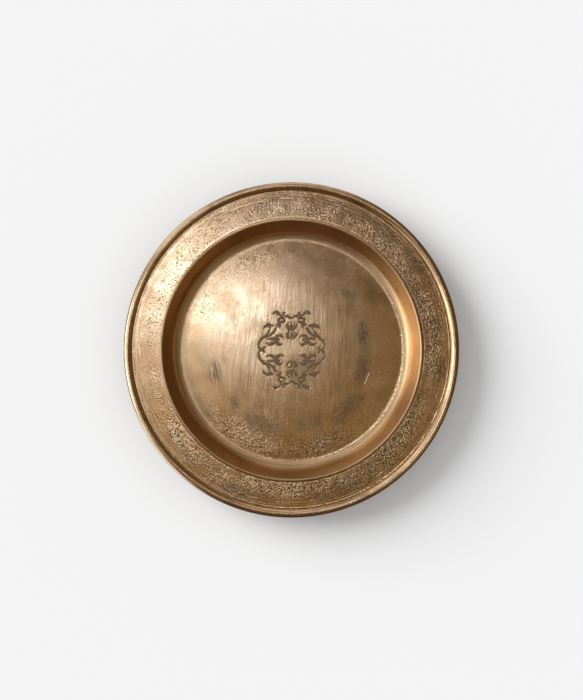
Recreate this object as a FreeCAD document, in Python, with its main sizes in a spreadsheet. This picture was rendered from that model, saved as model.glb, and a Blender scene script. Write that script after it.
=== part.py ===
import FreeCAD, Part
import Sketcher
import math
import os

# A cast brass paten plate: a round dish with a deep well, a smooth half-round wire soldered round
# the edge of its flange, and an engraved cartouche in the middle of the well, whose cuts hold a
# dark inlay. The origin is the middle of the resting face under the well, and +Z is up.

V = FreeCAD.Vector
UP = V(0, 0, 1)

DRIVING_SIZES = {
    # the dish, turned about Z (mm)
    "flange_edge_radius": 99.15,
    "arris_radius": 78.3,          # the inner edge of the flange, where the wall begins
    "floor_corner_radius": 72.1,   # where wall and floor would meet with no fillet
    "floor_flat_radius": 30.0,     # the flat middle of the floor, which carries the ornament
    "floor_thickness": 2.2,        # at the floor's lowest ring
    "floor_rise": 0.5,             # how far the middle of the floor stands above that ring
    "well_depth": 16.0,            # from the lowest ring of the floor up to the flange
    "wall_width": 2.3,             # the wall's thickness, measured level
    "flange_thickness": 1.8,
    "lip_height": 0.25,            # the arris stands a little above the flange
    "lip_width": 1.6,
    "foot_inner_radius": 49.0,     # the resting face is a ring outside this radius
    "foot_relief": 0.5,            # how far the middle of the underside is turned back
    "relief_width": 1.0,           # the width of the slope between the two
    "floor_fillet": 4.7,
    "foot_fillet": 7.0,
    "flange_fillet": 2.5,
    "arris_round": 0.8,
    # the wire on the edge
    "wire_radius": 2.45,
    "wire_sink": 0.35,             # how far the wire's centre lies under the top of the flange
    # the ornament
    "ornament_height": 47.4,
    "recess_depth": 0.4,
    "inlay_step": 0.06,            # the inlay stops this far under the floor
}

# Levels and slopes that more than one piece uses, as formulas of the sheet's aliases.
FLANGE_TOP = "floor_thickness + well_depth"
FLANGE_UNDER = "floor_thickness + well_depth - flange_thickness"
ARRIS_TOP = "floor_thickness + well_depth + lip_height"
FLOOR_TOP = "floor_thickness + floor_rise"
RECESS_FLOOR = "floor_thickness + floor_rise - recess_depth"
WIRE_CENTRE = "floor_thickness + well_depth - wire_sink"
WALL_LEAN = "( arris_radius - floor_corner_radius ) / well_depth"

doc = FreeCAD.newDocument("paten_plate")
sheet = doc.addObject("Spreadsheet::Sheet", "Sizes")
for row, (alias, number) in enumerate(DRIVING_SIZES.items(), start=1):
    sheet.set("A%d" % row, alias)
    sheet.set("B%d" % row, str(number))
    sheet.setAlias("B%d" % row, alias)
doc.recompute()


def expand(formula):
    """Write each alias in a formula as a reference to the sheet."""
    words = formula.split()
    return " ".join("Sizes." + word if word in DRIVING_SIZES else word for word in words)


def value(formula):
    """The number that a formula of aliases gives."""
    result = sheet.evalExpression(expand(formula))
    return float(getattr(result, "Value", result))


# ---------------------------------------------------------------- turned bodies

def new_body(label):
    body = doc.addObject("PartDesign::Body", label)
    body.Label = label
    return body


def section_sketch(body, name):
    """An empty sketch in the body's XZ plane: sketch X is the radius, sketch Y is the height."""
    plane = next(item for item in body.Origin.OriginFeatures if item.Role == "XZ_Plane")
    sketch = body.newObject("Sketcher::SketchObject", name)
    sketch.AttachmentSupport = [(plane, "")]
    sketch.MapMode = "FlatFace"
    return sketch


def constrain(sketch, formula, *constraint):
    """Add a dimension to a sketch and bind it to a formula."""
    index = sketch.addConstraint(Sketcher.Constraint(*constraint, value(formula)))
    sketch.setExpression("Constraints[%d]" % index, expand(formula))


def pin_vertex(sketch, edge, end, radius, height):
    """Tie one end of an edge to a radius and a height. None leaves that one free."""
    if radius == "0":
        sketch.addConstraint(Sketcher.Constraint("PointOnObject", edge, end, -2))
    elif radius:
        constrain(sketch, radius, "DistanceX", -1, 1, edge, end)
    if height == "0":
        sketch.addConstraint(Sketcher.Constraint("PointOnObject", edge, end, -1))
    elif height:
        constrain(sketch, height, "DistanceY", -1, 1, edge, end)


def join_ends(sketch, count):
    """Join the end of each edge to the start of the next, all the way round."""
    for index in range(count):
        sketch.addConstraint(Sketcher.Constraint("Coincident", index, 2, (index + 1) % count, 1))


def turn(body, sketch):
    """Revolve a closed section once round the body's axis."""
    revolution = body.newObject("PartDesign::Revolution", body.Label + "_turned")
    revolution.Profile = sketch
    revolution.ReferenceAxis = (sketch, ["V_Axis"])
    revolution.Angle = 360.0
    doc.recompute()


def ring_edges(shape, radius, height, reach=0.02):
    """The names of a turned shape's circular edges at a radius and a height."""
    names = []
    for number, edge in enumerate(shape.Edges, start=1):
        circle = edge.Curve
        if not isinstance(circle, Part.Circle):
            continue
        if abs(circle.Radius - radius) < reach and abs(circle.Center.z - height) < reach:
            names.append("Edge%d" % number)
    return names


def round_ring(body, name, radius, height, size):
    """Fillet one ring edge of a body by a size from the sheet."""
    base = body.Tip
    edges = ring_edges(base.Shape, value(radius), value(height))
    assert edges, "no edge for " + name
    fillet = body.newObject("PartDesign::Fillet", name)
    fillet.Base = (base, edges)
    fillet.setExpression("Radius", expand(size))
    doc.recompute()


def make_dish_blank():
    """The dish as it is cast and turned, before the ornament is cut."""
    foot_corner = "floor_corner_radius + wall_width - floor_thickness * " + WALL_LEAN
    under_corner = "%s + ( %s ) * %s" % (foot_corner, FLANGE_UNDER, WALL_LEAN)
    corners = [
        ("0", "foot_relief"),
        ("foot_inner_radius - relief_width", "foot_relief"),
        ("foot_inner_radius", "0"),
        (foot_corner, "0"),
        (under_corner, FLANGE_UNDER),
        ("flange_edge_radius", FLANGE_UNDER),
        ("flange_edge_radius", FLANGE_TOP),
        ("arris_radius + lip_width", FLANGE_TOP),
        ("arris_radius", ARRIS_TOP),
        ("floor_corner_radius", "floor_thickness"),
        ("floor_flat_radius", FLOOR_TOP),
        ("0", FLOOR_TOP),
    ]
    body = new_body("dish_blank")
    sketch = section_sketch(body, "dish_section")
    points = [V(value(radius), value(height), 0) for radius, height in corners]
    for start, end in zip(points, points[1:] + points[:1]):
        sketch.addGeometry(Part.LineSegment(start, end))
    join_ends(sketch, len(corners))
    for index, (radius, height) in enumerate(corners):
        pin_vertex(sketch, index, 1, radius, height)
    turn(body, sketch)
    round_ring(body, "floor_round", "floor_corner_radius", "floor_thickness", "floor_fillet")
    round_ring(body, "foot_round", foot_corner, "0", "foot_fillet")
    round_ring(body, "flange_round", under_corner, FLANGE_UNDER, "flange_fillet")
    round_ring(body, "arris_soft", "arris_radius", ARRIS_TOP, "arris_round")
    return body


def make_rim_wire():
    """The half-round wire, rebated underneath so that it sits over the flange's edge."""
    body = new_body("rim_wire")
    sketch = section_sketch(body, "wire_section")
    radius = value("wire_radius")
    centre = V(value("flange_edge_radius"), value(WIRE_CENTRE), 0)
    top, bottom = value(FLANGE_TOP), value(FLANGE_UNDER)
    inner = V(centre.x - math.sqrt(radius ** 2 - (top - centre.y) ** 2), top, 0)
    outer = V(centre.x + math.sqrt(radius ** 2 - (bottom - centre.y) ** 2), bottom, 0)
    from_angle = math.atan2(outer.y - centre.y, outer.x - centre.x)
    to_angle = math.atan2(inner.y - centre.y, inner.x - centre.x)
    seat_top, seat_low = V(centre.x, top, 0), V(centre.x, bottom, 0)
    arc, across_flange, down_edge, under = range(4)
    sketch.addGeometry(Part.ArcOfCircle(Part.Circle(centre, UP, radius), from_angle, to_angle))
    sketch.addGeometry(Part.LineSegment(inner, seat_top))
    sketch.addGeometry(Part.LineSegment(seat_top, seat_low))
    sketch.addGeometry(Part.LineSegment(seat_low, outer))
    join_ends(sketch, 4)
    pin_vertex(sketch, arc, 3, "flange_edge_radius", WIRE_CENTRE)
    constrain(sketch, "wire_radius", "Radius", arc)
    pin_vertex(sketch, across_flange, 1, None, FLANGE_TOP)
    pin_vertex(sketch, down_edge, 1, "flange_edge_radius", FLANGE_TOP)
    pin_vertex(sketch, under, 1, "flange_edge_radius", FLANGE_UNDER)
    pin_vertex(sketch, under, 2, None, FLANGE_UNDER)
    turn(body, sketch)
    return body


# ---------------------------------------------------------------- ornament outlines
#
# The cartouche is drawn in its upper right quarter, in mm from its middle, and mirrored. A stroke
# is a line of points with the width that the graver cuts at each, pointed at both ends.

DRAWN_HEIGHT = 47.4
STROKE_SAMPLES = 12
MIDDLE = V(0, 0, 0)
ACROSS = V(1, 0, 0)
ALONG = V(0, 1, 0)
CORNERS = {
    "top_right": (),
    "top_left": (ACROSS,),
    "bottom_right": (ALONG,),
    "bottom_left": (ACROSS, ALONG),
}
ENDS = {"top": (), "bottom": (ALONG,)}


def spline_through(points):
    curve = Part.BSplineCurve()
    curve.interpolate(points)
    return curve


def leaf_face(left, right):
    """The face between two splines that share their first and last points."""
    sides = [spline_through(left).toShape(), spline_through(right[::-1]).toShape()]
    return Part.Face(Part.Wire(sides))


def stroke(points, widths):
    """A face that follows a smooth line and swells and thins with the widths."""
    spine = spline_through([V(x, y, 0) for x, y in points])
    places = [spine.parameter(V(x, y, 0)) for x, y in points]
    swell = spline_through([V(place, width, 0) for place, width in zip(places, widths)])
    left, right = [], []
    for step in range(STROKE_SAMPLES + 1):
        share = step / STROKE_SAMPLES
        at = spine.FirstParameter + (spine.LastParameter - spine.FirstParameter) * share
        swell_at = swell.FirstParameter + (swell.LastParameter - swell.FirstParameter) * share
        half = 0.0 if step in (0, STROKE_SAMPLES) else max(swell.value(swell_at).y, 0.0) / 2
        tangent = spine.tangent(at)[0]
        normal = V(-tangent.y, tangent.x, 0)
        left.append(spine.value(at) + normal * half)
        right.append(spine.value(at) - normal * half)
    return leaf_face(left, right)


def petal(base, tip, width):
    """A straight pointed petal, widest a little past its middle."""
    base, tip = V(*base, 0), V(*tip, 0)
    length = tip - base
    half = V(-length.y, length.x, 0).normalize() * (width / 2)
    left, right = [base], [base]
    for share, fullness in ((0.25, 0.62), (0.58, 1.0), (0.86, 0.55)):
        left.append(base + length * share + half * fullness)
        right.append(base + length * share - half * fullness)
    return leaf_face(left + [tip], right + [tip])


def dot(x, y, radius):
    return Part.Face(Part.Wire(Part.Circle(V(x, y, 0), UP, radius).toShape()))


def oval_ring(x, y, long_half, short_half, wall):
    """An oval ring, thicker on its outer and lower sides, like a shaded ball."""
    shift = wall * 0.35
    outer = Part.Ellipse(V(x, y, 0), long_half, short_half).toShape()
    inner = Part.Ellipse(V(x - shift, y + shift, 0), long_half - wall, short_half - wall * 0.85).toShape()
    return Part.Face(Part.Wire(outer)).cut(Part.Face(Part.Wire(inner)))


def merge(faces):
    """Join overlapping faces into one outline: the underside of their fused prisms."""
    prisms = [face.extrude(UP) for face in faces]
    solid = prisms[0].fuse(prisms[1:]).removeSplitter()
    low_faces = [face for face in solid.Faces if face.BoundBox.ZMax < 1e-4]
    assert len(low_faces) == 1, "the strokes of a motif don't join"
    return low_faces[0]


def mirrored(shape, directions):
    for direction in directions:
        shape = shape.mirror(MIDDLE, direction)
    return shape


def bracket():
    """The right bracket. Each half is a curl, a bulge and then two stems."""
    outer_stem = stroke([(17.1, 1.6), (16.85, 0.8), (17.6, 0.2), (18.9, 0.35), (19.95, 1.6), (20.2, 3.4),
                         (19.3, 5.6), (17.3, 7.6), (15.0, 9.5), (13.75, 11.4), (13.4, 13.2)],
                        [0, 0.5, 0.62, 0.75, 0.8, 0.85, 0.95, 1.05, 0.9, 0.75, 0])
    inner_stem = stroke([(17.3, 7.5), (15.0, 8.2), (12.7, 9.3), (10.9, 11.0), (9.7, 12.9), (8.7, 13.9)],
                        [0, 0.65, 0.75, 1.35, 1.15, 0])
    upper = [outer_stem, inner_stem, dot(16.85, 1.25, 0.62)]
    return merge(upper + [mirrored(face, (ALONG,)) for face in upper])


def corner_leaf():
    """Three lobes at the end of the outer stem."""
    return merge([stroke([(13.2, 13.5), (14.5, 14.8), (16.1, 14.5), (17.3, 12.7)], [0, 1.25, 1.15, 0]),
                  stroke([(13.1, 13.6), (13.6, 15.0), (14.9, 16.4)], [0, 1.15, 0]),
                  stroke([(13.4, 13.5), (12.5, 14.9), (10.8, 14.6)], [0, 1.05, 0])])


def inner_leaf():
    """Four acanthus lobes that open towards the plain middle, and a bract under the arch."""
    return merge([stroke([(10.2, 5.9), (8.9, 8.2), (6.9, 8.9), (5.0, 7.2)], [0, 1.25, 1.0, 0]),
                  stroke([(10.0, 6.9), (8.9, 4.7), (7.4, 3.4), (5.2, 3.9)], [0, 2.0, 1.35, 0]),
                  stroke([(9.6, 6.4), (11.1, 4.4), (13.0, 3.4), (15.4, 4.4)], [0, 1.6, 1.15, 0]),
                  stroke([(9.4, 6.0), (11.3, 6.9), (13.2, 7.0), (15.0, 6.5)], [0, 1.1, 0.85, 0]),
                  stroke([(9.8, 5.8), (8.3, 6.5), (7.0, 6.2)], [0, 0.95, 0])])


def bud():
    """A round bud with a short leaf beside it, at the end of the inner stem."""
    return merge([dot(7.3, 14.9, 0.9), stroke([(7.2, 15.2), (8.3, 15.8), (9.3, 15.1)], [0, 0.8, 0])])


def ball():
    return oval_ring(6.2, 18.2, 2.35, 1.65, 0.78)


def curl_leaf():
    """A leaf that curls outwards above the ball, and a bud on its own stem."""
    return merge([stroke([(6.2, 20.2), (7.4, 22.0), (9.3, 23.1), (11.7, 22.3)], [0, 0.95, 1.4, 0]),
                  stroke([(6.5, 20.3), (5.5, 21.1), (4.8, 22.6)], [0, 0.6, 0]),
                  dot(4.75, 22.5, 0.82)])


def crest():
    """The curve between the two upper balls, across the middle line."""
    half = [(1.5, 20.45), (3.0, 20.95), (4.5, 20.2)]
    points = [(-x, y) for x, y in reversed(half)] + [(0, 19.5)] + half
    return stroke(points, [0, 0.8, 0.85, 0.6, 0.85, 0.8, 0])


def palmette():
    """Two fans of three petals, one above the other, with small dots between their tips."""
    shapes = [petal((0, 6.3), (0, 11.2), 1.4), petal((0, 11.7), (0, 16.2), 1.65), dot(0, 17.0, 0.38)]
    for side in (1, -1):
        shapes.append(petal((0.95 * side, 6.5), (3.5 * side, 10.2), 1.45))
        shapes.append(petal((0.95 * side, 12.0), (3.5 * side, 16.0), 1.65))
        shapes.append(dot(1.75 * side, 10.9, 0.36))
        shapes.append(dot(1.85 * side, 16.6, 0.38))
    return Part.makeCompound(shapes)


def ornament_outlines():
    """The flat outline of each inlay, by the name of its node."""
    outlines = {"inlay_bracket_right": bracket()}
    outlines["inlay_bracket_left"] = mirrored(outlines["inlay_bracket_right"], (ACROSS,))
    for motif in (corner_leaf, inner_leaf, bud, ball, curl_leaf):
        outline = motif()
        for corner, directions in CORNERS.items():
            outlines["inlay_%s_%s" % (motif.__name__, corner)] = mirrored(outline, directions)
    for motif in (crest, palmette):
        outline = motif()
        for end, directions in ENDS.items():
            outlines["inlay_%s_%s" % (motif.__name__, end)] = mirrored(outline, directions)
    return outlines


# ---------------------------------------------------------------- the ornament in the dish

def raise_outline(name, drawing, height):
    """Extrude a flat drawing upwards from the floor of the recesses, to a height from the sheet."""
    prism = doc.addObject("Part::Extrusion", name)
    prism.Label = name
    prism.Base = drawing
    prism.DirMode = "Custom"
    prism.Dir = UP
    prism.Solid = True
    prism.setExpression("LengthFwd", expand(height))
    prism.setExpression("Placement.Base.z", expand(RECESS_FLOOR))
    return prism


def make_inlays():
    """One inlay for each motif, and the drawing that holds all the outlines."""
    factor = value("ornament_height") / DRAWN_HEIGHT
    to_size = FreeCAD.Matrix()
    to_size.scale(factor, factor, 1)
    inlays, drawings = [], []
    for name, outline in ornament_outlines().items():
        drawing = doc.addObject("Part::Feature", name.replace("inlay", "outline"))
        drawing.Shape = outline if factor == 1 else outline.transformGeometry(to_size)
        drawings.append(drawing)
        inlays.append(raise_outline(name, drawing, "recess_depth - inlay_step"))
    ornament = doc.addObject("Part::Compound", "ornament_drawing")
    ornament.Links = drawings
    return inlays, ornament


def make_dish(blank, ornament):
    """The dish with the ornament's recesses cut into its floor."""
    recess = raise_outline("ornament_recess", ornament, "recess_depth + floor_rise")
    dish = doc.addObject("Part::Cut", "dish")
    dish.Label = "dish"
    dish.Base = blank
    dish.Tool = recess
    doc.recompute()
    return dish


def check(subparts):
    """Stop if any object failed, or if a piece isn't a valid solid."""
    for item in doc.Objects:
        states = [str(state) for state in item.State]
        assert "Invalid" not in states and "Error" not in states, "%s failed: %s" % (item.Name, states)
    for item in subparts:
        shape = item.Shape
        assert not shape.isNull() and shape.isValid() and shape.Solids, item.Label + " is no valid solid"


def main():
    blank = make_dish_blank()
    wire = make_rim_wire()
    inlays, ornament = make_inlays()
    dish = make_dish(blank, ornament)
    check([dish, wire] + inlays)
    assert dish.Shape.Volume < blank.Shape.Volume, "the ornament cut nothing"
    os.makedirs("parts", exist_ok=True)
    for item in [dish, wire] + inlays:
        item.Shape.exportStep("parts/%s.step" % item.Label)
        print("%-32s solids %2d  volume %9.2f mm3" % (item.Label, len(item.Shape.Solids), item.Shape.Volume))


main()
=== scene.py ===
# The looks of a cast brass paten plate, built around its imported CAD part. Lengths are in metres
# and the frame is the CAD's: +Z is the plate's axis, and the plate stands on z = 0.
import itertools
import math

import bpy
import numpy as np
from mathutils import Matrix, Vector
from mathutils.geometry import delaunay_2d_cdt
from mathutils.kdtree import KDTree


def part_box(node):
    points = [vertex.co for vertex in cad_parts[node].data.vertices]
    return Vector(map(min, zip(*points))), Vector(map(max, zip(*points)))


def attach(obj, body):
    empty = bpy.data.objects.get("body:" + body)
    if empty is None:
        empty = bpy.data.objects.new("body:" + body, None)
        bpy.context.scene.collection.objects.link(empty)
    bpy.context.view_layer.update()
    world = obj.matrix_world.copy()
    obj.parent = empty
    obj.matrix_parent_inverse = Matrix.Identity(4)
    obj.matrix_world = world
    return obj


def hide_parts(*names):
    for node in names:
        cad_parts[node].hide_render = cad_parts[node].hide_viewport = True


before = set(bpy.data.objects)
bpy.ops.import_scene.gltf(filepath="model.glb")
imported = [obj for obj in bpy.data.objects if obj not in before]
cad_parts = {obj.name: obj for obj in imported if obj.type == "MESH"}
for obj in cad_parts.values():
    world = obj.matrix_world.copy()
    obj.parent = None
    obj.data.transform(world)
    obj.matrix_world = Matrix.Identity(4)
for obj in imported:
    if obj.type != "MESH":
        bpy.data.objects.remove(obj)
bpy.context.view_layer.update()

MM = 0.001

# ---------------------------------------------------------------- sizes

DISH_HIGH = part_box("dish")[1]
WIRE_LOW, WIRE_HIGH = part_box("rim_wire")
RECESS_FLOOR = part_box("inlay_bracket_right")[0].z

FLANGE_EDGE = DISH_HIGH.x
WIRE_RADIUS = WIRE_HIGH.x - FLANGE_EDGE
WIRE_CENTRE = WIRE_HIGH.z - WIRE_RADIUS
FLANGE_UNDER = WIRE_LOW.z
FLANGE_TOP = FLANGE_UNDER + 1.8 * MM
ARRIS_TOP = FLANGE_TOP + 0.25 * MM
ARRIS = 78.3 * MM                 # radius of the flange's inner edge
ARRIS_ROUNDING = 0.8 * MM
LIP_EDGE = 79.9 * MM              # where the raised lip beside the arris runs out
FLOOR_CORNER = 72.1 * MM          # where wall and floor would meet with no fillet
FLOOR_FILLET = 4.7 * MM
FLOOR_FLAT = 24.0 * MM            # the floor falls away gently outside this radius
FLOOR_TOP = 2.7 * MM
FLOOR_LOW = 2.2 * MM
FOOT_RELIEF = 0.5 * MM
FOOT_INNER = 49.0 * MM
FOOT_FILLET = 6.8 * MM
FLANGE_FILLET = 2.5 * MM
WALL_WIDTH = 2.3 * MM             # measured level
WALL_LEAN = (ARRIS - FLOOR_CORNER) / (ARRIS_TOP - FLOOR_LOW)
FOOT_CORNER = FLOOR_CORNER + WALL_WIDTH - FLOOR_LOW * WALL_LEAN
UNDER_CORNER = FOOT_CORNER + FLANGE_UNDER * WALL_LEAN
UNDER_SPLIT = 83.5 * MM           # where the wall's and the flange's undersides meet
ORNAMENT_REACH = 28 * MM          # the radius that holds the whole ornament

GRAIN_HEIGHT = 0.025 * MM
CRUMB_DEPTH = 0.046 * MM
CUT_SHADE_REACH = 5 * MM              # how far the painted shade lies round the ornament's cuts, and how fast it fades
CUT_SHADE_FADE = 0.9 * MM
CUT_ROUNDING = 0.03 * MM          # how far the floor's skin sinks at the edge of a cut
RELIEF_LIFT = 0.04 * MM           # keeps the relieved middle clear of the drawn underside

SEGMENTS = 1536                   # steps round the plate, the same in every zone
FLOOR_STEP = 0.446 * MM           # how far apart the points of the floor lie
UNDER_STEP = 1.9 * MM             # the same for the underside of every zone
FINENESS = 0.04 * MM              # the same for a section line, before stations are set out on it

# How far apart a zone's rings of points lie: the radius up to which each step holds, and the step.
WALL_STEPS = ((73.5 * MM, 0.43 * MM), (77.7 * MM, 0.74 * MM), (math.inf, 0.165 * MM))
FLANGE_STEPS = ((81.8 * MM, 0.3 * MM), (95.0 * MM, 0.4 * MM), (math.inf, 0.15 * MM))
UNDER_STEPS = ((math.inf, UNDER_STEP),)

# ---------------------------------------------------------------- seeded noise

TABLE_SIZE = 4096
SEED_STRIDE = 131
NOISE_GAIN = 1.7
SHUFFLE = np.random.default_rng(7).permutation(TABLE_SIZE)
GRADIENTS = np.random.default_rng(8).normal(size=(TABLE_SIZE, 3))
GRADIENTS /= np.linalg.norm(GRADIENTS, axis=1)[:, None]


def noise(points, pitch, seed):
    """Smooth noise between about -1 and 1, with one bump to each pitch."""
    cells = points / pitch
    base = np.floor(cells).astype(np.int64)
    part = cells - base
    fade = part ** 3 * (part * (part * 6 - 15) + 10)
    total = np.zeros(len(points))
    for corner in itertools.product((0, 1), repeat=3):
        i, j, k = ((base + corner) & (TABLE_SIZE - 1)).T
        index = SHUFFLE[(i + seed * SEED_STRIDE) & (TABLE_SIZE - 1)]
        index = SHUFFLE[(index + j) & (TABLE_SIZE - 1)]
        index = SHUFFLE[(index + k) & (TABLE_SIZE - 1)]
        slope = np.sum(GRADIENTS[index] * (part - corner), axis=1)
        total += slope * np.prod(np.where(corner, fade, 1 - fade), axis=1)
    return total * NOISE_GAIN


def smooth_step(low, high, value):
    """0 at low and 1 at high, eased between them. Low may be the greater one."""
    share = np.clip((value - low) / (high - low), 0, 1)
    return share * share * (3 - 2 * share)


# ---------------------------------------------------------------- the dish's skin

# Each patch in the three tables below: radius (mm), azimuth (degrees, from +X towards +Y), half
# width across (mm), half width round the plate (degrees), strength.

# Dark smudges of old tarnish.
SMUDGES = (
    (49, 46, 5.0, 9, 0.9), (45, 12, 4.5, 16, 1.1), (45, -14, 5.0, 14, 0.95), (50, -46, 6.0, 14, 0.8),
    (46, -74, 5.0, 12, 0.5), (14, -50, 8.0, 45, 0.4), (49, 250, 5.5, 16, 0.8), (48, 197, 2.0, 9, 0.6),
    (48, 223, 2.5, 6, 0.6), (60, 60, 5.0, 16, 0.35), (65, 210, 3.0, 22, 0.45), (66, 170, 2.0, 30, 0.35),
    (93, 63, 4.0, 7, 0.75), (91, 50, 3.5, 7, 0.6), (92, 35, 4.0, 10, 0.8), (88, 7, 3.5, 7, 0.6),
    (90, -8, 4.5, 6, 0.8), (82, 20, 2.5, 30, 0.5), (82, -25, 2.5, 30, 0.5), (92, 248, 4.0, 9, 0.9),
    (90, 226, 3.5, 6, 0.5), (93, 98, 3.0, 7, 0.5), (93, 120, 3.0, 6, 0.35), (90, 290, 5.0, 14, 0.5),
    (86, -62, 5.0, 12, 0.45), (93, -35, 2.5, 14, 0.4), (93, 160, 2.0, 14, 0.2),
)
# Where polishing has left the casting's grain.
GRAINY = (
    (60, 240, 9, 28, 0.95), (62, 285, 8, 30, 0.60), (60, 110, 8, 30, 0.35), (56, 150, 9, 18, 0.20),
    (46, 5, 9, 40, 0.22), (69, -20, 3.0, 50, 0.6), (64, 50, 6, 26, 0.40), (64, 200, 5, 20, 0.30),
    (62, 0, 4, 30, 0.25), (85, 265, 6.5, 40, 1.0), (85, 318, 6.0, 26, 0.95), (86, 10, 6.5, 30, 0.95),
    (85, 50, 6.5, 24, 0.85), (86, 222, 6.0, 20, 0.80), (85, 198, 5.0, 16, 0.45), (86, 85, 7.0, 28, 0.55),
    (87, 130, 8.0, 28, 0.20), (86, 176, 7.0, 26, 0.12), (92, 245, 5.0, 14, 0.6), (91, 300, 4.0, 14, 0.6),
)
# Where small casting pits are left open.
PITTED = (
    (84, 140, 8.0, 36, 1.0), (88, 112, 8.0, 22, 1.0), (86, 170, 6.0, 16, 0.55), (85, 20, 6.0, 40, 0.6),
    (62, 115, 8.0, 26, 0.7), (60, 150, 7.0, 16, 0.5), (85, 265, 5.0, 40, 0.5), (85, 318, 5.0, 26, 0.5),
    (60, 245, 8.0, 24, 0.4), (20, 130, 9.0, 50, 0.5), (15, -20, 9.0, 60, 0.3),
)

TURNED_START = (66.0 * MM, 69.5 * MM)     # where the cast skin of the floor eases into turned brass
TURNED_END = (79.9 * MM, 78.7 * MM)       # where that eases back into the cast skin of the flange
SPILL = 1.6 * MM                          # how far the floor's grain spills onto its fillet
SPILL_AZIMUTH = -20                       # and the middle of the side where it does (degrees)
GRAIN_END = (96.4 * MM, 95.3 * MM)        # where the grain stops beside the wire


def polar(points):
    return np.hypot(points[:, 0], points[:, 1]), np.degrees(np.arctan2(points[:, 1], points[:, 0]))


def patchy(points, patches, seed):
    """The strongest of some soft, ragged patches at each point, from 0 to 1."""
    radius, azimuth = polar(points)
    ragged = 0.5 * noise(points, 7 * MM, seed) + 0.35 * noise(points, 3 * MM, seed + 1)
    amount = np.zeros(len(points))
    for middle, direction, across, along, strength in patches:
        turn = (azimuth - direction + 180) % 360 - 180
        far = np.hypot((radius / MM - middle) / across, turn / along)
        amount = np.maximum(amount, strength * smooth_step(1.5, 0.1, far + 0.55 * ragged))
    return amount


def turned(points):
    """1 where the dish was turned smooth (fillet, wall and arris), and 0 on its cast skin."""
    radius, azimuth = polar(points)
    spill = SPILL * smooth_step(75, 35, np.abs(azimuth - SPILL_AZIMUTH))
    spill *= 1 + 0.6 * noise(points, 4 * MM, 53)
    return smooth_step(*TURNED_START, radius - spill) * smooth_step(*TURNED_END, radius)


def pebbled(points):
    """The worm-like grain of the casting, between about -1 and 1."""
    warp = np.stack([noise(points, 2.4 * MM, 30 + axis) for axis in range(3)], axis=1)
    moved = points + warp * 0.4 * MM
    worms = 1 - 2.4 * np.abs(noise(moved, 1.3 * MM, 34))
    crumbs = noise(moved, 0.95 * MM, 35)
    return 0.35 * worms + 0.75 * crumbs


def grain_strength(points):
    """How strongly the grain stands on each part of the upper skin: polishing has worn it down."""
    radius, _ = polar(points)
    blotches = 0.75 + 0.35 * noise(points, 9 * MM, 41)
    faint = 0.05 + 0.05 * smooth_step(30 * MM, 50 * MM, radius)
    strength = np.maximum(patchy(points, GRAINY, 43) * blotches, faint)
    strength *= smooth_step(*GRAIN_END, radius)
    return strength * (1 - turned(points))


def turned_marks(points):
    """The marks of turning and soldering: ridges, and grooves where the height is below 0."""
    radius, _ = polar(points)
    broken = smooth_step(-0.25, 0.35, noise(points, 9 * MM, 51))
    softly = 0.6 + 0.4 * noise(points, 5 * MM, 52)
    marks = np.zeros(len(points))
    for middle, width, height, presence in (
            (95.75, 0.32, 0.06, softly),           # the ridge inside the notch
            (96.45, 0.25, -0.10, 1),               # the notch beside the wire
            (91.6, 0.22, -0.035, broken),
            (93.4, 0.30, -0.022, 1 - broken),
            (74.1, 0.22, 0.03, 1),                 # low on the wall
            (80.2, 0.40, -0.022, 1)):              # outside the arris
        marks += height * MM * presence * np.exp(-((radius / MM - middle) / width) ** 2)
    return marks


def upper_skin(points):
    """Height of the skin over the drawn surface, and the shades that the materials read."""
    strength, smooth = grain_strength(points), turned(points)
    grain = pebbled(points) * strength
    waves = 0.024 * MM * noise(points, 34 * MM, 61) + 0.005 * MM * noise(points, 13 * MM, 62)
    height = grain * GRAIN_HEIGHT + waves + turned_marks(points)
    return height, {
        "grain": grain,
        "rough": strength,
        "turned": smooth,
        "tarnish": patchy(points, SMUDGES, 21),
        "pitted": patchy(points, PITTED, 47) * (1 - smooth),
    }


def under_skin(points):
    """The underside: a rougher casting with broad turning marks."""
    radius, _ = polar(points)
    rings = np.sin(radius / (0.9 * MM)) * 0.006 * MM
    grain = noise(points, 3.4 * MM, 71)
    tarnish = smooth_step(-0.3, 0.8, noise(points, 16 * MM, 72) + 0.4 * noise(points, 5 * MM, 73))
    shades = {"grain": grain * 0.7, "tarnish": 0.3 + 0.6 * tarnish, "rough": np.full(len(points), 0.7)}
    clear = smooth_step(0.3 * MM, 2.0 * MM, points[:, 2])
    return (rings + 0.03 * MM * grain) * clear, shades


# ---------------------------------------------------------------- sections

ARC_POINTS = 40
SECTION_START = 60 * MM                   # the upper section line starts inside the floor's edge
EASE_START = (61.5 * MM, 63.5 * MM)       # where its bends begin to be eased, and where they no
EASE_END = (76.8 * MM, 75.3 * MM)         # longer are
EASE_WIDTH = 2.3 * MM


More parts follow.
